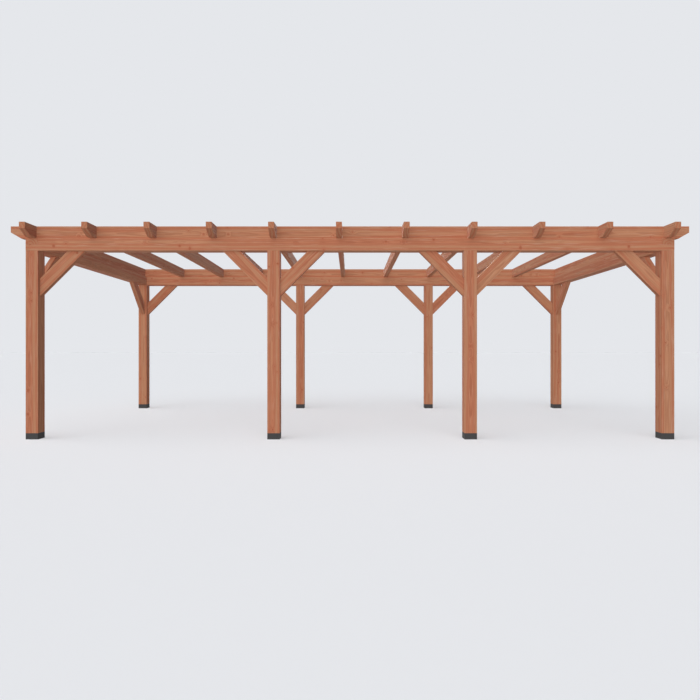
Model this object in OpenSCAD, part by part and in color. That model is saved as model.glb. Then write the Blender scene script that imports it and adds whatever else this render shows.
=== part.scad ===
// Open timber pergola frame.
// Square posts on shoes carry a half-lapped ring beam. Rafters are cross-halved over a front and a
// rear top beam, with sloped tails on all four sides, and knee braces stiffen the posts.
// The front faces -Y, +X is to the right, and the origin is on the ground under the middle.

/* [Posts] */
// Side of each square post, also the width of the ring beam
post_side = 140; // [100:1:200]
// Height of the shoe under each post
shoe_height = 70; // [20:1:150]
// Clear height from the ground to the ring beam
headroom = 2110; // [1900:10:3000]

/* [Plan] */
// Left bay, between the post centre lines
left_bay = 2700; // [1800:5:3600]
// Middle bay, between the post centre lines
middle_bay = 2205; // [1800:5:3600]
// Right bay, between the post centre lines
right_bay = 2205; // [1800:5:3600]
// Depth, between the front and rear post centre lines
depth_span = 3330; // [2000:5:5000]

/* [Ring beam] */
// Height of the ring beam
ring_height = 140; // [100:1:240]

/* [Rafters and top beams] */
// Thickness of the rafters and the top beams
joist_thick = 65; // [40:1:100]
// Height of the rafters and the top beams
joist_height = 140; // [110:1:240]
// Reach of the top beams past the outer faces of the corner posts
side_overhang = 188; // [130:1:500]
// Reach of the rafters past the outer faces of the posts
front_overhang = 190; // [130:1:500]
// Height of the upright end of a tail
tail_face = 70; // [40:1:100]
// Slope of the cut under a tail, from the level
tail_angle = 30; // [25:1:60]
// Spaces between rafters in the left bay
left_spaces = 4; // [2:1:6]
// Spaces between rafters in the middle bay
middle_spaces = 3; // [2:1:6]
// Spaces between rafters in the right bay
right_spaces = 3; // [2:1:6]

/* [Braces] */
// Thickness of a knee brace
brace_thick = 65; // [40:1:90]
// Depth of a knee brace, square to its length
brace_depth = 140; // [80:1:180]
// Reach of a knee brace along the post and along the beam
brace_leg = 505; // [350:5:800]

/* [Planing] */
// Width of the eased long edges of every timber
arris = 3; // [1:0.5:8]

/* [Hidden] */
timber_colour = [0.69, 0.45, 0.35];
shoe_colour = [0.16, 0.16, 0.16];

// Levels, from the ground up
post_length = headroom - shoe_height;
ring_top = headroom + ring_height;
lap_level = headroom + ring_height / 2;
halving_level = ring_top + joist_height / 2;

// Post centre lines
bays = [left_bay, middle_bay, right_bay];
span_total = left_bay + middle_bay + right_bay;
post_x = [
    -span_total / 2,
    left_bay - span_total / 2,
    left_bay + middle_bay - span_total / 2,
    span_total / 2
];
row_y = [-depth_span / 2, depth_span / 2];
side_x = [-span_total / 2, span_total / 2];

// Outlines over the posts, and lengths of the timbers
outer_width = span_total + post_side;
outer_depth = depth_span + post_side;
top_beam_length = outer_width + 2 * side_overhang;
rafter_length = outer_depth + 2 * front_overhang;

// Rafter centre lines, evenly spaced within each bay, with one over each post line
spaces = [left_spaces, middle_spaces, right_spaces];
rafter_x = [
    for (bay = [0 : len(bays) - 1])
        for (k = [0 : spaces[bay] - 1])
            post_x[bay] + k * bays[bay] / spaces[bay],
    post_x[len(bays)]
];

// Every post of a row leans a brace to each neighbour: the post's column, and whether it leans right
row_braces = [
    for (column = [0 : len(bays)])
        for (leans_right = [false, true])
            if (column < len(bays) || !leans_right)
                if (column > 0 || leans_right)
                    [column, leans_right]
];

// Names of the pieces
rows = ["front", "rear"];
columns = ["left", "inner_left", "inner_right", "right"];
sides = ["left", "right"];
pair = [0 : 1];
function post_name(row, column) = str(rows[row], "_", columns[column], "_post");
function shoes_name(row) = str(rows[row], "_post_shoes");
function ring_name(edge) = str(edge, "_ring_beam");
function top_beam_name(row) = str(rows[row], "_top_beam");
function rafter_name(k) = str("rafter_", k + 1 < 10 ? "0" : "", k + 1);
function row_brace_name(row, k) = str(rows[row], "_brace_", k + 1);
function side_brace_name(side, row) = str(sides[side], "_", rows[row], "_brace");

// Cross-section of a planed timber, centred, with its corners eased
module eased_section(width, height) {
    x = width / 2;
    y = height / 2;
    polygon([
        [arris - x, -y],
        [x - arris, -y],
        [x, arris - y],
        [x, y - arris],
        [x - arris, y],
        [arris - x, y],
        [-x, y - arris],
        [-x, arris - y]
    ]);
}

// A planed timber lying along X on the level z
module timber(length, width, height, z) {
    translate([0, 0, z + height / 2])
        rotate([90, 0, 90])
            linear_extrude(length, center = true)
                eased_section(width, height);
}

// A plain block centred on the Z axis, standing on the level z, that cuts a joint
module cutter(size, z) {
    translate([0, 0, z + size.z / 2])
        cube(size, center = true);
}

// Side view of a rafter or a top beam, centred on its length, with a sloped cut under each tail
module tailed_outline(length) {
    tail_drop = joist_height - tail_face;
    tail_run = tail_drop / tan(tail_angle);
    half = length / 2;
    polygon([
        [-half, tail_drop],
        [tail_run - half, 0],
        [half - tail_run, 0],
        [half, tail_drop],
        [half, joist_height],
        [-half, joist_height]
    ]);
}

// A rafter or a top beam lying along X on the ring beam, before it is halved
module tailed_timber(length) {
    intersection() {
        timber(length, joist_thick, joist_height, ring_top);
        translate([0, joist_thick / 2, ring_top])
            rotate([90, 0, 0])
                linear_extrude(joist_thick)
                    tailed_outline(length);
    }
}

// One post, standing on its shoe
module post(row, column) {
    color(timber_colour)
        translate([post_x[column], row_y[row], shoe_height])
            linear_extrude(post_length)
                eased_section(post_side, post_side);
}

// The shoes under one row of posts
module post_shoes(row) {
    color(shoe_colour)
        for (x = post_x)
            translate([x, row_y[row], 0])
                linear_extrude(shoe_height)
                    eased_section(post_side, post_side);
}

// A front or rear ring beam, whose upper half is cut away at the corners
module row_ring_beam(row) {
    color(timber_colour)
        translate([0, row_y[row], 0])
            difference() {
                timber(outer_width, post_side, ring_height, headroom);
                for (x = side_x)
                    translate([x, 0, 0])
                        cutter([post_side, 2 * post_side, ring_height], lap_level);
            }
}

// A left or right ring beam, whose lower half is cut away at the corners
module side_ring_beam(side) {
    color(timber_colour)
        translate([side_x[side], 0, 0])
            difference() {
                rotate([0, 0, 90])
                    timber(outer_depth, post_side, ring_height, headroom);
                for (y = row_y)
                    translate([0, y, 0])
                        cutter([2 * post_side, post_side, ring_height], lap_level - ring_height);
            }
}

// A top beam, halved from above where the rafters cross it
module top_beam(row) {
    color(timber_colour)
        translate([0, row_y[row], 0])
            difference() {
                tailed_timber(top_beam_length);
                for (x = rafter_x)
                    translate([x, 0, 0])
                        cutter([joist_thick, 2 * joist_thick, joist_height], halving_level);
            }
}

// A rafter, halved from below where it crosses the top beams
module rafter(k) {
    color(timber_colour)
        translate([rafter_x[k], 0, 0])
            difference() {
                rotate([0, 0, 90])
                    tailed_timber(rafter_length);
                for (y = row_y)
                    translate([0, y, 0])
                        cutter([2 * joist_thick, joist_thick, joist_height], halving_level - joist_height);
            }
}

// A knee brace at 45 degrees, mitred against the face of a post and the underside of the ring beam
module brace(x, y, turn) {
    mitre = brace_depth * sqrt(2);
    color(timber_colour)
        translate([x, y, headroom])
            rotate([90, 0, turn])
                translate([post_side / 2, 0, 0])
                    intersection() {
                        linear_extrude(brace_thick, center = true)
                            polygon([
                                [0, -brace_leg],
                                [brace_leg, 0],
                                [brace_leg - mitre, 0],
                                [0, mitre - brace_leg]
                            ]);
                        translate([brace_leg / 2, -brace_leg / 2, 0])
                            rotate([-90, 0, 45])
                                timber(brace_leg * sqrt(2), brace_thick, brace_depth, 0);
                    }
}

for (row = pair) {
    for (column = [0 : len(bays)])
        post(row, column);
    post_shoes(row);
    row_ring_beam(row);
    top_beam(row);
    for (k = [0 : len(row_braces) - 1])
        brace(post_x[row_braces[k][0]], row_y[row], row_braces[k][1] ? 0 : 180);
}
for (side = pair) {
    side_ring_beam(side);
    for (row = pair)
        brace(side_x[side], row_y[row], row == 0 ? 90 : -90);
}
for (k = [0 : len(rafter_x) - 1])
    rafter(k);
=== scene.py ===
"""Dresses an open timber pergola frame: red-brown stained timbers on matt black post shoes."""

import logging
import math
import random
from collections.abc import Mapping, Sequence
from dataclasses import dataclass
from enum import Enum

import bmesh
import bpy
import numpy as np
from mathutils import Matrix, Vector


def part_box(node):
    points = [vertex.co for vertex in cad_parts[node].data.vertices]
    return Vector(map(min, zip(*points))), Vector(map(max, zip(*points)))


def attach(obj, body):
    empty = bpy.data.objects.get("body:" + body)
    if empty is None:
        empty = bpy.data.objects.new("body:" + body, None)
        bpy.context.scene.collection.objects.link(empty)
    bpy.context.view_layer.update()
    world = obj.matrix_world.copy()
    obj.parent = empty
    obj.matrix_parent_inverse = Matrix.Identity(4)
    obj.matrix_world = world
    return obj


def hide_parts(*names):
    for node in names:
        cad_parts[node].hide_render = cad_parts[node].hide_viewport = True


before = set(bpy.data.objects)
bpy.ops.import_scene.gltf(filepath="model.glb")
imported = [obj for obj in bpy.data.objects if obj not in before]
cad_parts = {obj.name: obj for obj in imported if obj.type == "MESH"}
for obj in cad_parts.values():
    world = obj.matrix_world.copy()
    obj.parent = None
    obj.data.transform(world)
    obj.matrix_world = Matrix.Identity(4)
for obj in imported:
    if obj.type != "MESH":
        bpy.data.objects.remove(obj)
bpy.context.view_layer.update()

LOG = logging.getLogger("pergola")
BODY = "root"

ROWS = ("front", "rear")
SIDES = ("left", "right")
COLUMNS = ("left", "inner_left", "inner_right", "right")

# Ways in which a bar that is worked along X lies in the frame
ALONG_X = Matrix.Identity(4)
ALONG_Y = Matrix.Rotation(math.radians(90), 4, "Z")
UPRIGHT = Matrix.Rotation(math.radians(-90), 4, "Y")

# Mean of the noise, and how much each finer layer of it adds
NOISE_MEAN = 0.5
NOISE_FINENESS = 0.55

Colour = tuple[float, float, float, float]
Edge = tuple[float, float]
Corners = tuple[Vector, Vector]


def stain(red: int, green: int, blue: int) -> Colour:
    """Turns a colour as it is seen on a screen into the linear one that a shader takes.

    Args:
        red: Red, from 0 to 255.
        green: Green, from 0 to 255.
        blue: Blue, from 0 to 255.

    Returns:
        The linear colour, with full alpha.
    """
    parts = [value / 255 for value in (red, green, blue)]
    linear = [p / 12.92 if p <= 0.04045 else ((p + 0.055) / 1.055) ** 2.4 for p in parts]
    return (linear[0], linear[1], linear[2], 1.0)


class Mark(str, Enum):
    """Names of the attributes that a timber's mesh carries for its finish."""

    GRAIN = "grain"
    TONE = "tone"
    CUT = "cross_cut"
    ARRIS = "arris"


class Slot(str, Enum):
    """Material slots of the record."""

    TIMBER = "timber"
    SHOE = "post_shoe"


class Sawn(Enum):
    """Where in its log a timber is sawn: how far from the heart, over its thickness and height."""

    BOXED_HEART = ((-0.030, 0.030), (-0.030, 0.030))
    BESIDE_HEART = ((0.055, 0.105), (-0.035, 0.035))


class Channel:
    """A value that varies over a surface, on which Python's operators add Math nodes."""

    def __init__(self, board: "Board", socket: bpy.types.NodeSocket) -> None:
        """Wraps one output socket of a node on a board."""
        self.board = board
        self.socket = socket

    def math(self, operation: str, *others: "Number") -> "Channel":
        """Adds one Math node on this value and the others."""
        return self.board.math(operation, self, *others)

    def beside(self, output: str) -> "Channel":
        """Gives another output of the same node."""
        return Channel(self.board, self.socket.node.outputs[output])

    def rise(self, low: float, high: float) -> "Channel":
        """Goes smoothly from 0 at low to 1 at high."""
        sockets = {"Value": self, "From Min": low, "From Max": high}
        return self.board.add("ShaderNodeMapRange", {"interpolation_type": "SMOOTHSTEP"}, sockets)

    def __add__(self, other: "Number") -> "Channel":
        """Adds."""
        return self.math("ADD", other)

    __radd__ = __add__

    def __sub__(self, other: "Number") -> "Channel":
        """Subtracts."""
        return self.math("SUBTRACT", other)

    def __rsub__(self, other: float) -> "Channel":
        """Subtracts this value from a number."""
        return self.board.math("SUBTRACT", other, self)

    def __mul__(self, other: "Number") -> "Channel":
        """Multiplies."""
        return self.math("MULTIPLY", other)

    __rmul__ = __mul__

    def __truediv__(self, other: "Number") -> "Channel":
        """Divides."""
        return self.math("DIVIDE", other)

    def __rtruediv__(self, other: float) -> "Channel":
        """Divides a number by this value."""
        return self.board.math("DIVIDE", other, self)

    def __pow__(self, other: "Number") -> "Channel":
        """Raises to a power."""
        return self.math("POWER", other)

    def __rpow__(self, other: float) -> "Channel":
        """Raises a number to the power of this value."""
        return self.board.math("POWER", other, self)


Number = Channel | float
Shade = Channel | Colour
Sockets = Mapping[str, object] | Sequence[object]


class Board:
    """A node tree on which a finish is laid out."""

    def __init__(self, tree: bpy.types.NodeTree) -> None:
        """Clears a node tree and takes it over."""
        self.tree = tree
        tree.nodes.clear()

    def node(
        self, kind: str, settings: Mapping[str, object], sockets: Sockets
    ) -> bpy.types.Node:
        """Adds a node, sets it, and fills or links its sockets.

        Args:
            kind: The node's type.
            settings: Values of the node's own properties, set first.
            sockets: Values or channels of its sockets, by name or in order.

        Returns:
            The node.
        """
        node = self.tree.nodes.new(kind)
        for name, value in settings.items():
            setattr(node, name, value)
        live = [socket for socket in node.inputs if socket.enabled]
        names = [socket.name for socket in live]
        pairs = sockets.items() if isinstance(sockets, Mapping) else enumerate(sockets)
        for key, value in pairs:
            target = live[key if isinstance(key, int) else names.index(key)]
            if isinstance(value, Channel):
                self.tree.links.new(value.socket, target)
            else:
                target.default_value = value
        return node

    def add(
        self, kind: str, settings: Mapping[str, object], sockets: Sockets, output: str = ""
    ) -> Channel:
        """Adds a node and gives one of its outputs.

        Args:
            kind: The node's type.
            settings: Values of the node's own properties.
            sockets: Values or channels of its sockets, by name or in order.
            output: Name of the output that is wanted, or nothing for the first one.

        Returns:
            The channel of that output.
        """
        outputs = self.node(kind, settings, sockets).outputs
        given = [socket for socket in outputs if socket.enabled and output in ("", socket.name)]
        return Channel(self, given[0])

    def close(self, kind: str, surface: Channel) -> None:
        """Links a shader to an output node, which ends the tree."""
        self.node(kind, {}, {"Surface": surface})

    def math(self, operation: str, *values: Number) -> Channel:
        """Adds one Math node on some values."""
        return self.add("ShaderNodeMath", {"operation": operation}, values)

    def mark(self, name: Mark, output: str) -> Channel:
        """Reads an attribute of the mesh."""
        return self.add("ShaderNodeAttribute", {"attribute_name": name.value}, [], output)

    def scaled(self, vector: Channel, factors: Sequence[float]) -> Channel:
        """Multiplies a vector by one factor along each axis."""
        settings = {"operation": "MULTIPLY"}
        return self.add("ShaderNodeVectorMath", settings, [vector, tuple(factors)])

    def noise(self, place: Channel, layers: float, output: str = "") -> Channel:
        """Gives smooth noise at a place.

        Args:
            place: The place, in lengths of the noise.
            layers: How many finer layers are added.
            output: Name of the output that is wanted, or nothing for the plain value.

        Returns:
            The noise, about its mean.
        """
        sockets = {"Vector": place, "Scale": 1.0, "Detail": layers, "Roughness": NOISE_FINENESS}
        return self.add("ShaderNodeTexNoise", {"noise_dimensions": "3D"}, sockets, output)

    def mix(self, share: Channel, first: Shade, second: Shade) -> Channel:
        """Goes from one colour to another.

        Args:
            share: Share of the second colour.
            first: The first colour.
            second: The second colour.

        Returns:
            The mixed colour.
        """
        settings = {"data_type": "RGBA", "clamp_factor": True}
        sockets = {"Factor": share, "A": first, "B": second}
        return self.add("ShaderNodeMix", settings, sockets, "Result")

    def tinted(self, colour: Channel, factor: Channel) -> Channel:
        """Makes a colour lighter or darker."""
        sockets = {"Vector": colour, "Scale": factor}
        return self.add("ShaderNodeVectorMath", {"operation": "SCALE"}, sockets)

    def shown(self) -> Channel:
        """Is 1 for what the camera sees, straight or in a gloss or through glass."""
        path = self.add("ShaderNodeLightPath", {}, [], "Is Camera Ray")
        return path + path.beside("Is Glossy Ray") + path.beside("Is Transmission Ray")


def blank_finish(name: str) -> tuple[bpy.types.Material, Board]:
    """Adds a material with an empty board.

    Args:
        name: Name of the material.

    Returns:
        The material and its board.
    """
    material = bpy.data.materials.new(name)
    material.use_nodes = True
    return material, Board(material.node_tree)


@dataclass(frozen=True)
class Fibres:
    """Noise that is drawn out along the grain, by its waves in a metre along and across it."""

    along: float
    across: float
    layers: float = 1.0

    def lay(self, board: Board, grain: Channel, output: str = "") -> Channel:
        """Gives the noise at a place in the log."""
        place = board.scaled(grain, (self.along, self.across, self.across))
        return board.noise(place, self.layers, output)


@dataclass(frozen=True)
class Knots:
    """One set of branches, which run straight out from a log's heart; lengths are in metres."""

    # One branch leaves the heart in each stretch of the log, at a drawn place and turn
    spacing: float
    seed: float
    first: float = 0.3
    stray: float = 0.4
    core: float = 0.02

    # Size and outline of a knot
    slim: float = 0.0040
    spread: float = 0.0095
    slant: float = 0.75
    even: float = 0.7
    uneven: float = 0.6
    edge: Edge = (0.5, 1.25)

    # Fine rings in a knot, and the wood that swells round it
    rings: float = 11.0
    ring_depth: float = 0.15
    halo: float = 0.022

    def lay(
        self, board: Board, place: Sequence[Channel], wobble: Channel
    ) -> tuple[Channel, Channel]:
        """Finds the branches near a point.

        Args:
            board: The board of the finish.
            place: The point: along the grain, and from the heart over thickness and height.
            wobble: Noise that makes the outlines uneven.

        Returns:
            The mask of the knots, and the mask of the wood round them.
        """
        along, across, rise = place
        step = along / self.spacing + self.seed
        cell = step.math("FLOOR")
        draw = board.add("ShaderNodeTexWhiteNoise", {"noise_dimensions": "1D"}, [cell], "Color")
        spot = board.add("ShaderNodeSeparateColor", {}, [draw], "Red")
        turn = spot.beside("Green") * math.tau
        east, north = turn.math("COSINE"), turn.math("SINE")
        ahead = (step - cell - self.first - self.stray * spot) * (self.spacing * self.slant)
        aside = across * north - rise * east
        outward = (across * east + rise * north).rise(0.0, self.core)
        reach = (ahead * ahead + aside * aside) ** 0.5 * (self.even + self.uneven * wobble)
        inside = reach / (self.slim + self.spread * spot.beside("Blue") ** 2)
        growth = 1 - self.ring_depth + self.ring_depth * (inside * self.rings).math("SINE")
        knot = (1 - inside.rise(*self.edge)) * outward * growth
        fade = reach / self.halo
        return knot, outward / (1 + fade * fade) ** 2


@dataclass(frozen=True)
class Log:
    """The wood of a log, round its heart; lengths are in metres."""

    # Year rings, with the parts of a year in which the dark late wood comes and ends
    ring: float = 0.0060
    summer: Edge = (0.2, 0.9)
    winter: Edge = (0.92, 1.0)

    # How the heart sways, the rings ripple, and the rings swell at a knot
    sway: Fibres = Fibres(0.8, 0.05)
    sway_reach: float = 0.034
    ripple: Fibres = Fibres(2.6, 22.0, 2.0)
    ripple_reach: float = 0.010
    swelling: float = 0.012

    # Two sets of branches
    knots: tuple[Knots, Knots] = (Knots(0.17, 0.37), Knots(0.23, 8.11))
    wobble: Fibres = Fibres(70.0, 120.0)

    # Broad bands of russet wood
    zone: float = 0.034
    zone_edge: Edge = (-0.7, 0.7)
    drift: Fibres = Fibres(0.5, 9.0)
    drift_zones: float = 1.6

    def bands(self, board: Board, grain: Channel) -> Channel:
        """Lays broad straight bands of tan and russet wood round the heart.

        Args:
            board: The board of the finish.
            grain: Place in the log, the first number along the grain.

        Returns:
            The share of russet wood.
        """
        heart = board.scaled(grain, (0.0, 1 / self.zone, 1 / self.zone))
        radius = board.add("ShaderNodeVectorMath", {"operation": "LENGTH"}, [heart], "Value")
        drift = self.drift.lay(board, grain)
        turns = (radius + self.drift_zones * drift) * math.tau
        return turns.math("SINE").rise(*self.zone_edge)

    def grow(self, board: Board, grain: Channel) -> tuple[Channel, Channel, Channel]:
        """Grows the year rings round the heart, bent where branches leave it.

        Args:
            board: The board of the finish.
            grain: Place in the log, the first number along the grain.

        Returns:
            The share of late wood, the mask of the knots, and the mask of the wood round them.
        """
        along = board.add("ShaderNodeSeparateXYZ", {}, [grain], "X")
        sway = self.sway.lay(board, grain, "Color")
        sway_across = board.add("ShaderNodeSeparateColor", {}, [sway], "Red")
        sway_rise = sway_across.beside("Green")
        across = along.beside("Y") + self.sway_reach * (sway_across - NOISE_MEAN)
        rise = along.beside("Z") + self.sway_reach * (sway_rise - NOISE_MEAN)
        ripple = self.ripple_reach * (self.ripple.lay(board, grain) - NOISE_MEAN)
        radius = (across * across + rise * rise) ** 0.5 + ripple
        wobble = self.wobble.lay(board, grain)
        (knot, halo), (other_knot, other_halo) = (
            branches.lay(board, (along, across, rise), wobble) for branches in self.knots
        )
        knot, halo = knot.math("MAXIMUM", other_knot), halo.math("MAXIMUM", other_halo)
        phase = ((radius + self.swelling * halo) / self.ring).math("FRACT")
        late = phase.rise(*self.summer) * (1 - phase.rise(*self.winter))
        return late, knot, halo


@dataclass(frozen=True)
class Wood:
    """What a finish reads of the wood at a point: masks from 0 to 1, and noises."""

    grain: Channel
    late: Channel
    knot: Channel
    halo: Channel
    bands: Channel
    fibre: Channel
    pore: Channel
    cut: Channel
    end: Channel


@dataclass(frozen=True)
class StainedTimber:
    """Planed softwood under a thin matt red-brown stain; lengths are in metres."""

    log: Log = Log()
    fibre: Fibres = Fibres(14.0, 900.0, 2.0)
    pore: Fibres = Fibres(60.0, 700.0)

    # Colours, and the shares of russet that bands, late wood and the wood round knots add
    tan: Colour = stain(177, 125, 95)
    russet: Colour = stain(173, 107, 80)
    band_share: float = 0.78
    late_share: float = 0.26
    halo_share: float = 0.5
    knot: Colour = stain(156, 84, 60)
    knot_share: float = 0.85

    # Pale flecks, broken up into threads
    streak: Colour = stain(190, 151, 127)
    streak_share: float = 0.62
    fleck: Fibres = Fibres(4.2, 105.0)
    fleck_edge: Edge = (0.55, 0.74)
    thread: Fibres = Fibres(9.0, 420.0)
    thread_edge: Edge = (0.36, 0.60)
    thread_share: float = 0.75

    # How far across the grain a cut goes where flecks fade, and where it shows end grain
    fade_edge: Edge = (0.2, 0.6)
    end_edge: Edge = (0.6, 0.95)

    # Lighter and darker wood
    tone_light: float = 0.03
    arris_light: float = 0.06
    fibre_light: float = 0.20
    late_shade: float = 0.16
    late_mean: float = 0.39
    end_shade: float = 0.02
    pore_shade: float = 0.3

    # Gloss and roughness
    gloss: float = 0.04
    rough: float = 0.70
    fibre_rough: float = 0.12
    late_smooth: float = 0.06
    end_rough: float = 0.12

    # Relief, and what each kind of wood adds to it
    relief: float = 0.0004
    relief_strength: float = 0.5
    late_relief: float = 0.5
    fibre_relief: float = 0.6
    knot_relief: float = 0.5

    def make(self) -> bpy.types.Material:
        """Lays out the finish.

        Returns:
            The material.
        """
        material, board = blank_finish("stained_timber")
        wood = self.read(board)
        sockets = {
            "Base Color": board.tinted(self.colour(board, wood), self.light(board, wood)),
            "Roughness": self.roughness(wood),
            "Normal": self.bump(board, wood),
            "Specular IOR Level": self.gloss,
        }
        board.close("ShaderNodeOutputMaterial", board.add("ShaderNodeBsdfPrincipled", {}, sockets))
        return material

    def read(self, board: Board) -> Wood:
        """Reads the wood from the marks on a timber's mesh.

        Args:
            board: The board of the finish.

        Returns:
            The wood.
        """
        grain = board.mark(Mark.GRAIN, "Vector")
        late, knot, halo = self.log.grow(board, grain)
        bands = self.log.bands(board, grain)
        fibre, pore = self.fibre.lay(board, grain), self.pore.lay(board, grain)
        cut = board.mark(Mark.CUT, "Fac")
        return Wood(grain, late, knot, halo, bands, fibre, pore, cut, cut.rise(*self.end_edge))

    def colour(self, board: Board, wood: Wood) -> Channel:
        """Stains the wood.

        Args:
            board: The board of the finish.
            wood: The wood.

        Returns:
            The colour, before it is made lighter or darker.
        """
        flecks = self.fleck.lay(board, wood.grain).rise(*self.fleck_edge)
        threads = self.thread.lay(board, wood.grain).rise(*self.thread_edge)
        flecks = flecks * (1 - self.thread_share + self.thread_share * threads)
        streaks = flecks * self.streak_share * (1 - wood.cut.rise(*self.fade_edge))
        late, halo = self.late_share * wood.late, self.halo_share * wood.halo
        colour = board.mix(self.band_share * wood.bands + late + halo, self.tan, self.russet)
        colour = board.mix(streaks, colour, self.streak)
        return board.mix(wood.knot * self.knot_share, colour, self.knot)

    def light(self, board: Board, wood: Wood) -> Channel:
        """Makes the wood lighter and darker.

        Args:
            board: The board of the finish.
            wood: The wood.

        Returns:
            The factor on the colour, about 1.
        """
        tone = self.tone_light * board.mark(Mark.TONE, "Fac")
        arris = self.arris_light * board.mark(Mark.ARRIS, "Fac")
        end = wood.end * (self.end_shade + self.pore_shade * (wood.pore - NOISE_MEAN))
        fibre = self.fibre_light * (wood.fibre - NOISE_MEAN)
        return 1 + tone + arris - end + fibre - self.late_shade * (wood.late - self.late_mean)

    def roughness(self, wood: Wood) -> Channel:
        """Gives the roughness, most on end grain and least on late wood."""
        fibre = self.fibre_rough * (wood.fibre - NOISE_MEAN)
        return self.rough + fibre - self.late_smooth * wood.late + self.end_rough * wood.end

    def bump(self, board: Board, wood: Wood) -> Channel:
        """Raises late wood, fibres and knots, and sinks the pores of end grain.

        Args:
            board: The board of the finish.
            wood: The wood.

        Returns:
            The surface's direction.
        """
        height = wood.late * self.late_relief + wood.fibre * self.fibre_relief
        height = height + wood.knot * self.knot_relief - wood.pore * wood.end
        sockets = {"Strength": self.relief_strength, "Distance": self.relief, "Height": height}
        return board.add("ShaderNodeBump", {}, sockets)


@dataclass(frozen=True)
class MouldedShoe:
    """Matt black moulding with a fine texture, a little dusty near the ground."""

    # Colours, with the height in metres that dust reaches and the clouds that it lies in
    black: Colour = stain(68, 67, 67)
    dust: Colour = stain(100, 97, 93)
    dust_share: float = 0.5
    splash: float = 0.022
    clouds: float = 38.0
    cloud_layers: float = 3.0
    cloud_edge: Edge = (0.35, 0.75)

    # Lighter and darker spots
    light: float = 0.92
    cloud_light: float = 0.10
    pebble_light: float = 0.10

    # Fine texture, as the width and depth of its pebbles in metres
    pebble: float = 0.0012
    pebble_layers: float = 1.0
    relief: float = 0.0003
    relief_strength: float = 0.4

    # Gloss and roughness
    gloss: float = 0.12
    rough: float = 0.66
    cloud_rough: float = 0.16
    dust_rough: float = 0.2

    def make(self) -> bpy.types.Material:
        """Lays out the finish.

        Returns:
            The material.
        """
        material, board = blank_finish("moulded_shoe")
        place = board.add("ShaderNodeTexCoord", {}, [], "Object")
        height = board.add("ShaderNodeSeparateXYZ", {}, [place], "Z")
        pebble = board.noise(board.scaled(place, [1 / self.pebble] * 3), self.pebble_layers)
        cloud = board.noise(board.scaled(place, [self.clouds] * 3), self.cloud_layers)
        dusty = (1 - height.rise(0.0, self.splash)) * cloud.rise(*self.cloud_edge)
        colour = board.mix(self.dust_share * dusty, self.black, self.dust)
        grit = self.pebble_light * (pebble - NOISE_MEAN)
        uneven = self.cloud_rough * (cloud - NOISE_MEAN)
        relief = {"Strength": self.relief_strength, "Distance": self.relief, "Height": pebble}
        sockets = {
            "Base Color": board.tinted(colour, self.light + self.cloud_light * cloud + grit),
            "Roughness": self.rough + uneven + self.dust_rough * dusty,
            "Normal": board.add("ShaderNodeBump", {}, relief),
            "Specular IOR Level": self.gloss,
        }
        board.close("ShaderNodeOutputMaterial", board.add("ShaderNodeBsdfPrincipled", {}, sockets))
        return material


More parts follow.
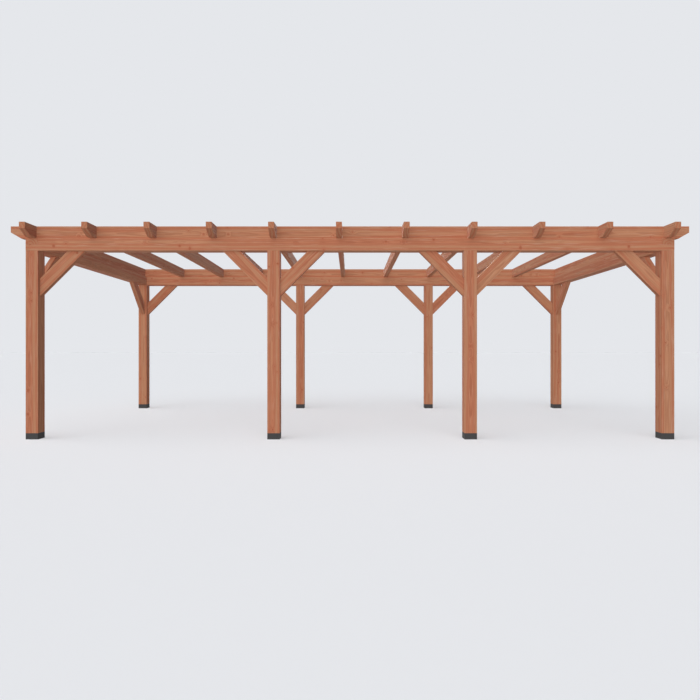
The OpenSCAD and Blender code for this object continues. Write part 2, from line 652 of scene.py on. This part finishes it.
class Bench:
    """The modelling bench, where meshes are shaped with Blender's own operators."""

    ROUND_STEPS = 3
    ALIGNED = 0.9
    SHARP = math.radians(40)
    SMOOTH = math.radians(35)
    FLAT_WEIGHT = 100

    @staticmethod
    def take(piece: bpy.types.Object) -> None:
        """Makes a piece the only one that is selected, and the active one.

        Args:
            piece: The piece.
        """
        bpy.ops.object.select_all(action="DESELECT")
        piece.select_set(True)
        bpy.context.view_layer.objects.active = piece

    @staticmethod
    def block(name: str, low: Vector, high: Vector) -> bpy.types.Object:
        """Adds a square block between two corners.

        Args:
            name: Name of the block.
            low: Its lowest corner.
            high: Its highest corner.

        Returns:
            The block, with its place in its mesh.
        """
        bpy.ops.object.select_all(action="DESELECT")
        bpy.ops.mesh.primitive_cube_add(size=1.0, location=(low + high) / 2, scale=high - low)
        piece = bpy.context.active_object
        piece.name = piece.data.name = name
        bpy.ops.object.transform_apply(location=True, rotation=True, scale=True)
        return piece

    @classmethod
    def round_edges(cls, piece: bpy.types.Object, axis: Vector, width: float) -> None:
        """Rounds a block's edges along one axis.

        Args:
            piece: The block.
            axis: The direction of the edges.
            width: Width that the round takes from each face.
        """
        cls.take(piece)
        bpy.ops.object.mode_set(mode="EDIT")
        bpy.ops.mesh.select_mode(type="EDGE")
        bpy.ops.mesh.select_all(action="DESELECT")
        mesh = bmesh.from_edit_mesh(piece.data)
        for edge in mesh.edges:
            along = (edge.verts[1].co - edge.verts[0].co).normalized()
            edge.select_set(abs(along.dot(axis)) > cls.ALIGNED)
        bmesh.update_edit_mesh(piece.data)
        bpy.ops.mesh.bevel(offset=width, segments=cls.ROUND_STEPS, affect="EDGES")
        bpy.ops.object.mode_set(mode="OBJECT")

    @classmethod
    def saw(cls, piece: bpy.types.Object, point: Vector, outward: Vector) -> None:
        """Saws a piece through and drops what is outside.

        Args:
            piece: The piece.
            point: A point of the cut.
            outward: The cut's direction, towards the waste.
        """
        cls.take(piece)
        bpy.ops.object.mode_set(mode="EDIT")
        bpy.ops.mesh.select_all(action="SELECT")
        bpy.ops.mesh.bisect(plane_co=point, plane_no=outward, use_fill=True, clear_outer=True)
        bpy.ops.object.mode_set(mode="OBJECT")

    @classmethod
    def apply(cls, piece: bpy.types.Object, kind: str, settings: Mapping[str, object]) -> None:
        """Puts a modifier on a piece and applies it.

        Args:
            piece: The piece.
            kind: The modifier's type.
            settings: Values of the modifier's own properties.
        """
        cls.take(piece)
        modifier = piece.modifiers.new(kind.lower(), kind)
        for name, value in settings.items():
            setattr(modifier, name, value)
        bpy.ops.object.modifier_apply(modifier=modifier.name)

    @classmethod
    def chop(cls, piece: bpy.types.Object, wastes: Sequence[Corners]) -> None:
        """Chops square notches out of a piece.

        Args:
            piece: The piece.
            wastes: The lowest and highest corners of each block of waste.
        """
        for low, high in wastes:
            waste = cls.block("waste", low, high)
            settings = {"operation": "DIFFERENCE", "solver": "EXACT", "object": waste}
            cls.apply(piece, "BOOLEAN", settings)
            bpy.data.objects.remove(waste)

    @classmethod
    def ease(cls, piece: bpy.types.Object, width: float, steps: int) -> None:
        """Eases the edges that are still sharp.

        Args:
            piece: The piece.
            width: Width that the ease takes from each face.
            steps: How many flats make it.
        """
        settings = {"width": width, "segments": steps, "limit_method": "ANGLE"}
        cls.apply(piece, "BEVEL", {**settings, "angle_limit": cls.SHARP})

    @classmethod
    def smooth(cls, piece: bpy.types.Object) -> None:
        """Shades the rounds smoothly and keeps the faces flat.

        Args:
            piece: The piece.
        """
        cls.take(piece)
        bpy.ops.object.shade_smooth_by_angle(angle=cls.SMOOTH)
        settings = {"mode": "FACE_AREA", "weight": cls.FLAT_WEIGHT, "keep_sharp": True}
        cls.apply(piece, "WEIGHTED_NORMAL", settings)

    @classmethod
    def copy(cls, pattern: bpy.types.Object, name: str, place: Matrix) -> bpy.types.Object:
        """Copies a pattern to its place.

        Args:
            pattern: The pattern, about the origin.
            name: Name of the copy.
            place: Where the copy goes.

        Returns:
            The copy, with its own mesh and its place in it.
        """
        cls.take(pattern)
        bpy.ops.object.duplicate(linked=False)
        piece = bpy.context.active_object
        piece.name = piece.data.name = name
        piece.matrix_world = place
        bpy.ops.object.transform_apply(location=True, rotation=True, scale=True)
        return piece


def dress(piece: bpy.types.Object, node: str, finish: bpy.types.Material, slot: Slot) -> None:
    """Gives a piece its material, and puts it in the place of a CAD node.

    Args:
        piece: The piece.
        node: The CAD node that it stands for.
        finish: Its material.
        slot: Its material slot in the record; not used.
    """
    piece.data.materials.clear()
    piece.data.materials.append(finish)
    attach(piece, BODY)
    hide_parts(node)
    LOG.info("%s stands for %s, %d faces", piece.name, node, len(piece.data.polygons))


def middle(node: str) -> Vector:
    """Gives the middle of a CAD node."""
    low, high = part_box(node)
    return (low + high) / 2


def extent(node: str) -> Vector:
    """Gives the size of a CAD node."""
    low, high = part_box(node)
    return high - low


def lying(node: str) -> tuple[float, float, float]:
    """Gives the length, width and height of a CAD node that lies level along X or Y."""
    size = extent(node)
    return max(size.x, size.y), min(size.x, size.y), size.z


def post_nodes() -> list[str]:
    """Names the CAD nodes of the posts."""
    return [f"{row}_{column}_post" for row in ROWS for column in COLUMNS]


@dataclass
class Bar:
    """A planed bar along X about the origin, worked to the pattern of one kind of timber."""

    name: str
    length: float
    thickness: float
    height: float
    sawn: Sawn

    # Width of the rounded long edges and of the eased cuts, and the play in a joint
    arris: float = 0.004
    ease: float = 0.0008
    ease_steps: int = 1
    play: float = 0.0004

    # Length of wood that timbers are drawn from, and the slant past which a face is an arris
    log_length: float = 60.0
    arris_slant: float = 0.15

    def __post_init__(self) -> None:
        """Planes the bar and rounds its long edges."""
        half = Vector((self.length, self.thickness, self.height)) / 2
        self.pattern = Bench.block(self.name, -half, half)
        Bench.round_edges(self.pattern, Vector((1, 0, 0)), self.arris)

    def slope_tails(self, face: float, angle: float) -> None:
        """Cuts a slope under each end.

        Args:
            face: Height of the upright end that is left.
            angle: Slope of the cut, from the level.
        """
        for way in (-1, 1):
            point = Vector((way * self.length / 2, 0, self.height / 2 - face))
            outward = Vector((way * math.sin(angle), 0, -math.cos(angle)))
            Bench.saw(self.pattern, point, outward)

    def mitre_ends(self) -> None:
        """Cuts both ends at 45 degrees, so that the lower edge stays the longer one."""
        for way in (-1, 1):
            point = Vector((way * self.length / 2, 0, -self.height / 2))
            Bench.saw(self.pattern, point, Vector((way, 0, 1)).normalized())

    def halve(self, places: Sequence[float], width: float, from_above: bool) -> None:
        """Cuts the bar to half its height where other bars cross it.

        Args:
            places: Middles of the notches along the bar.
            width: Width of the crossing bars.
            from_above: Whether the upper half is cut away.
        """
        reach, side = width / 2 + self.play, self.thickness
        floor, roof = (-self.play, self.height) if from_above else (-self.height, self.play)
        wastes = [
            (Vector((x - reach, -side, floor)), Vector((x + reach, side, roof))) for x in places
        ]
        Bench.chop(self.pattern, wastes)

    def finish(self) -> None:
        """Eases the sawn edges and shades the pattern."""
        Bench.ease(self.pattern, self.ease, self.ease_steps)
        Bench.smooth(self.pattern)

    def place(self, node: str, where: Matrix, finish: bpy.types.Material) -> None:
        """Copies the pattern to stand for one CAD node.

        Args:
            node: The CAD node.
            where: Its place.
            finish: Its material.
        """
        timber = Bench.copy(self.pattern, f"{node}_timber", where)
        self.mark(timber, node)
        dress(timber, node, finish, Slot.TIMBER)

    def mark(self, timber: bpy.types.Object, node: str) -> None:
        """Writes on a timber's mesh where in its log it was sawn.

        Args:
            timber: The timber.
            node: Its CAD node, which sets the draw.
        """
        draw = random.Random(node)
        across, rise = self.sawn.value
        heart = (
            draw.uniform(0, self.log_length),
            draw.choice((-1, 1)) * draw.uniform(*across),
            draw.uniform(*rise),
        )
        tone = draw.uniform(-1, 1)
        source = self.pattern.data
        places = np.array([vertex.co for vertex in source.vertices]) + np.array(heart)
        normals = np.abs(np.array([face.normal for face in source.polygons]))
        rounded = np.minimum(normals[:, 1], normals[:, 2]) > self.arris_slant
        self.write(timber, Mark.GRAIN, "POINT", places)
        self.write(timber, Mark.TONE, "POINT", np.full(len(places), tone))
        self.write(timber, Mark.CUT, "FACE", normals[:, 0])
        self.write(timber, Mark.ARRIS, "FACE", rounded)

    @staticmethod
    def write(timber: bpy.types.Object, mark: Mark, domain: str, values: np.ndarray) -> None:
        """Writes one attribute of a mesh.

        Args:
            timber: The timber.
            mark: The attribute.
            domain: Whether it goes on points or faces.
            values: Its values, as numbers or as vectors.
        """
        kind, field = ("FLOAT_VECTOR", "vector") if values.ndim == 2 else ("FLOAT", "value")
        layer = timber.data.attributes.new(mark.value, kind, domain)
        layer.data.foreach_set(field, values.astype(np.float32).ravel())

    def drop(self) -> None:
        """Takes the pattern off the bench."""
        bpy.data.objects.remove(self.pattern)


@dataclass
class Posts:
    """The eight posts, all alike."""

    finish: bpy.types.Material

    def build(self) -> None:
        """Models one post and copies it to every place."""
        nodes = post_nodes()
        size = extent(nodes[0])
        bar = Bar("post", size.z, size.y, size.x, Sawn.BOXED_HEART)
        bar.finish()
        for node in nodes:
            bar.place(node, Matrix.Translation(middle(node)) @ UPRIGHT, self.finish)
        bar.drop()


@dataclass
class Shoes:
    """The moulded shoes under the posts, one piece a row."""

    finish: bpy.types.Material
    corner: float = 0.004
    rim: float = 0.0025
    rim_steps: int = 3

    def build(self) -> None:
        """Models one shoe, copies it under every post and joins each row."""
        size = extent(post_nodes()[0])
        size.z = extent("front_post_shoes").z
        pattern = Bench.block("shoe", -size / 2, size / 2)
        Bench.round_edges(pattern, Vector((0, 0, 1)), self.corner)
        Bench.ease(pattern, self.rim, self.rim_steps)
        Bench.smooth(pattern)
        for row in ROWS:
            self.join_row(pattern, row)
        bpy.data.objects.remove(pattern)

    def join_row(self, pattern: bpy.types.Object, row: str) -> None:
        """Copies the shoe under each post of a row and joins the copies.

        Args:
            pattern: The shoe.
            row: The row.
        """
        node = f"{row}_post_shoes"
        copies = []
        for column in COLUMNS:
            place = middle(f"{row}_{column}_post")
            place.z = middle(node).z
            copies.append(Bench.copy(pattern, f"{row}_{column}_shoe", Matrix.Translation(place)))
        Bench.take(copies[0])
        for copy in copies:
            copy.select_set(True)
        bpy.ops.object.join()
        copies[0].name = copies[0].data.name = f"{node}_moulded"
        dress(copies[0], node, self.finish, Slot.SHOE)


@dataclass
class RingBeam:
    """The four beams on the posts, half-lapped at the corners."""

    finish: bpy.types.Material

    def build(self) -> None:
        """Models a row beam and a side beam, and copies each to its two places."""
        self.lapped(ROWS, ALONG_X, True)
        self.lapped(SIDES, ALONG_Y, False)

    def lapped(self, edges: Sequence[str], turn: Matrix, from_above: bool) -> None:
        """Models one pair of beams.

        Args:
            edges: The edges of the frame that they lie on.
            turn: The way they lie.
            from_above: Whether their ends lose the upper half.
        """
        nodes = [f"{edge}_ring_beam" for edge in edges]
        length, width, height = lying(nodes[0])
        bar = Bar("ring_beam", length, width, height, Sawn.BOXED_HEART)
        ends = (length - width) / 2
        bar.halve((-ends, ends), width, from_above)
        bar.finish()
        for node in nodes:
            bar.place(node, Matrix.Translation(middle(node)) @ turn, self.finish)
        bar.drop()


@dataclass
class TopFrame:
    """The two top beams and the rafters that are cross-halved over them, with sloped tails."""

    finish: bpy.types.Material
    tail_face: float = 0.070
    tail_angle: float = math.radians(30)

    def build(self) -> None:
        """Models a top beam and a rafter, and copies each to its places."""
        beams = [f"{row}_top_beam" for row in ROWS]
        rafters = sorted(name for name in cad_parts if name.startswith("rafter_"))
        crossings = [middle(node).x for node in rafters]
        rests = [middle(node).y for node in beams]
        self.tailed(beams, ALONG_X, crossings, True)
        self.tailed(rafters, ALONG_Y, rests, False)

    def tailed(
        self, nodes: Sequence[str], turn: Matrix, places: Sequence[float], from_above: bool
    ) -> None:
        """Models one kind of timber.

        Args:
            nodes: The CAD nodes of that kind.
            turn: The way they lie.
            places: Middles of the notches along each.
            from_above: Whether the notches are in the upper half.
        """
        length, width, height = lying(nodes[0])
        bar = Bar("top_timber", length, width, height, Sawn.BESIDE_HEART)
        bar.slope_tails(self.tail_face, self.tail_angle)
        bar.halve(places, width, from_above)
        bar.finish()
        for node in nodes:
            bar.place(node, Matrix.Translation(middle(node)) @ turn, self.finish)
        bar.drop()


@dataclass
class Braces:
    """The knee braces at 45 degrees, mitred against the posts and the ring beam."""

    finish: bpy.types.Material
    depth: float = 0.140
    touch: float = 0.001

    def build(self) -> None:
        """Models one brace and copies it to every post that carries one."""
        nodes = sorted(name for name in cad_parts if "_brace" in name)
        _, thickness, leg = lying(nodes[0])
        bar = Bar("brace", leg * math.sqrt(2), thickness, self.depth, Sawn.BESIDE_HEART)
        bar.mitre_ends()
        bar.finish()
        tilt = Matrix.Rotation(math.radians(-45), 4, "Y")
        lean = tilt @ Matrix.Translation((0, 0, self.depth / 2))
        for node in nodes:
            turn = Matrix.Rotation(self.facing(node), 4, "Z")
            bar.place(node, Matrix.Translation(middle(node)) @ turn @ lean, self.finish)
        bar.drop()

    def facing(self, node: str) -> float:
        """Finds the way in which a brace leaves its post.

        Args:
            node: The CAD node of the brace.

        Returns:
            The angle from +X, in radians.
        """
        low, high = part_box(node)
        axis = 0 if high.x - low.x > high.y - low.y else 1
        for post in post_nodes():
            near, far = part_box(post)
            if abs(middle(node)[1 - axis] - middle(post)[1 - axis]) > self.touch:
                continue
            if abs(low[axis] - far[axis]) < self.touch:
                return axis * math.pi / 2
            if abs(high[axis] - near[axis]) < self.touch:
                return axis * math.pi / 2 + math.pi
        raise ValueError(f"{node} meets no post")


@dataclass(frozen=True)
class Lamp:
    """A wide soft lamp, far away."""

    name: str
    strength: float
    source: tuple[float, float, float]
    degrees: float
    shadows: bool = False

    def hang(self) -> None:
        """Hangs the lamp in the direction that its light comes from."""
        bpy.ops.object.light_add(type="SUN")
        lamp = bpy.context.active_object
        lamp.name = self.name
        lamp.data.energy = self.strength
        lamp.data.angle = math.radians(self.degrees)
        lamp.data.use_shadow = self.shadows
        lamp.rotation_euler = Vector(self.source).to_track_quat("Z", "Y").to_euler()


@dataclass
class Studio:
    """A plain pale floor, soft light, and the camera; lengths are in metres."""

    # The floor, whose colour is set against the light that falls on it
    paper: Colour = stain(229, 231, 235)
    floor_light: float = 1.009
    floor_bounce: float = 0.58
    floor_span: float = 400.0

    # An even sky, a key lamp, and fill lamps that cast no shadows
    sky: float = 0.160
    lamps: tuple[Lamp, ...] = (
        Lamp("key_lamp", 0.30, (-0.500, -0.560, 0.661), 100.0, shadows=True),
        Lamp("fill_lamp", 2.80, (-0.500, -0.560, 0.661), 100.0),
        Lamp("front_fill_lamp", 0.64, (0.0, -0.966, -0.259), 60.0),
        Lamp("rear_fill_lamp", 1.70, (0.0, 0.940, 0.342), 30.0),
    )

    # The camera, with its lens and sensor in millimetres
    eye: tuple[float, float, float] = (0.0, -7.967, 0.9995)
    lens: float = 28.69
    sensor: float = 36.0

    def build(self) -> None:
        """Sets the stage up."""
        bpy.context.scene.view_settings.view_transform = "Standard"
        self.lay_floor()
        self.light()
        self.aim()

    def lay_floor(self) -> None:
        """Lays the floor, which bounces less light than the camera sees on it."""
        bpy.ops.object.select_all(action="DESELECT")
        bpy.ops.mesh.primitive_plane_add(size=self.floor_span)
        floor = bpy.context.active_object
        floor.name = floor.data.name = "studio_floor"
        material, board = blank_finish("pale_floor")
        pale = [value / self.floor_light for value in self.paper[:3]]
        dimmer = [value * self.floor_bounce for value in pale]
        seen = board.add("ShaderNodeBsdfDiffuse", {}, {"Color": (*pale, 1.0)})
        unseen = board.add("ShaderNodeBsdfDiffuse", {}, {"Color": (*dimmer, 1.0)})
        surface = board.add("ShaderNodeMixShader", {}, [board.shown(), unseen, seen])
        board.close("ShaderNodeOutputMaterial", surface)
        floor.data.materials.append(material)

    def light(self) -> None:
        """Hangs the lamps, under a sky that is seen as pale as the floor."""
        for lamp in self.lamps:
            lamp.hang()
        world = bpy.data.worlds.new("pale_sky")
        world.use_nodes = True
        board = Board(world.node_tree)
        white = {"Color": (1.0, 1.0, 1.0, 1.0), "Strength": self.sky}
        even = board.add("ShaderNodeBackground", {}, white)
        seen = board.add("ShaderNodeBackground", {}, {"Color": self.paper, "Strength": 1.0})
        surface = board.add("ShaderNodeMixShader", {}, [board.shown(), even, seen])
        board.close("ShaderNodeOutputWorld", surface)
        bpy.context.scene.world = world

    def aim(self) -> None:
        """Sets the camera level, at the height of a seated person's eyes, before the middle."""
        bpy.ops.object.camera_add(location=self.eye, rotation=(math.pi / 2, 0, 0))
        camera = bpy.context.active_object
        camera.name = "camera"
        camera.data.lens = self.lens
        camera.data.sensor_width = self.sensor
        bpy.context.scene.camera = camera


def main() -> None:
    """Builds the stage and every sub-assembly in order."""
    logging.basicConfig(level=logging.INFO, format="%(name)s: %(message)s")
    Studio().build()
    timber = StainedTimber().make()
    shoe = MouldedShoe().make()
    assemblies = (Posts(timber), Shoes(shoe), RingBeam(timber), TopFrame(timber), Braces(timber))
    for assembly in assemblies:
        assembly.build()
        LOG.info("%s done", type(assembly).__name__)


if __name__ == "__main__":
    main()
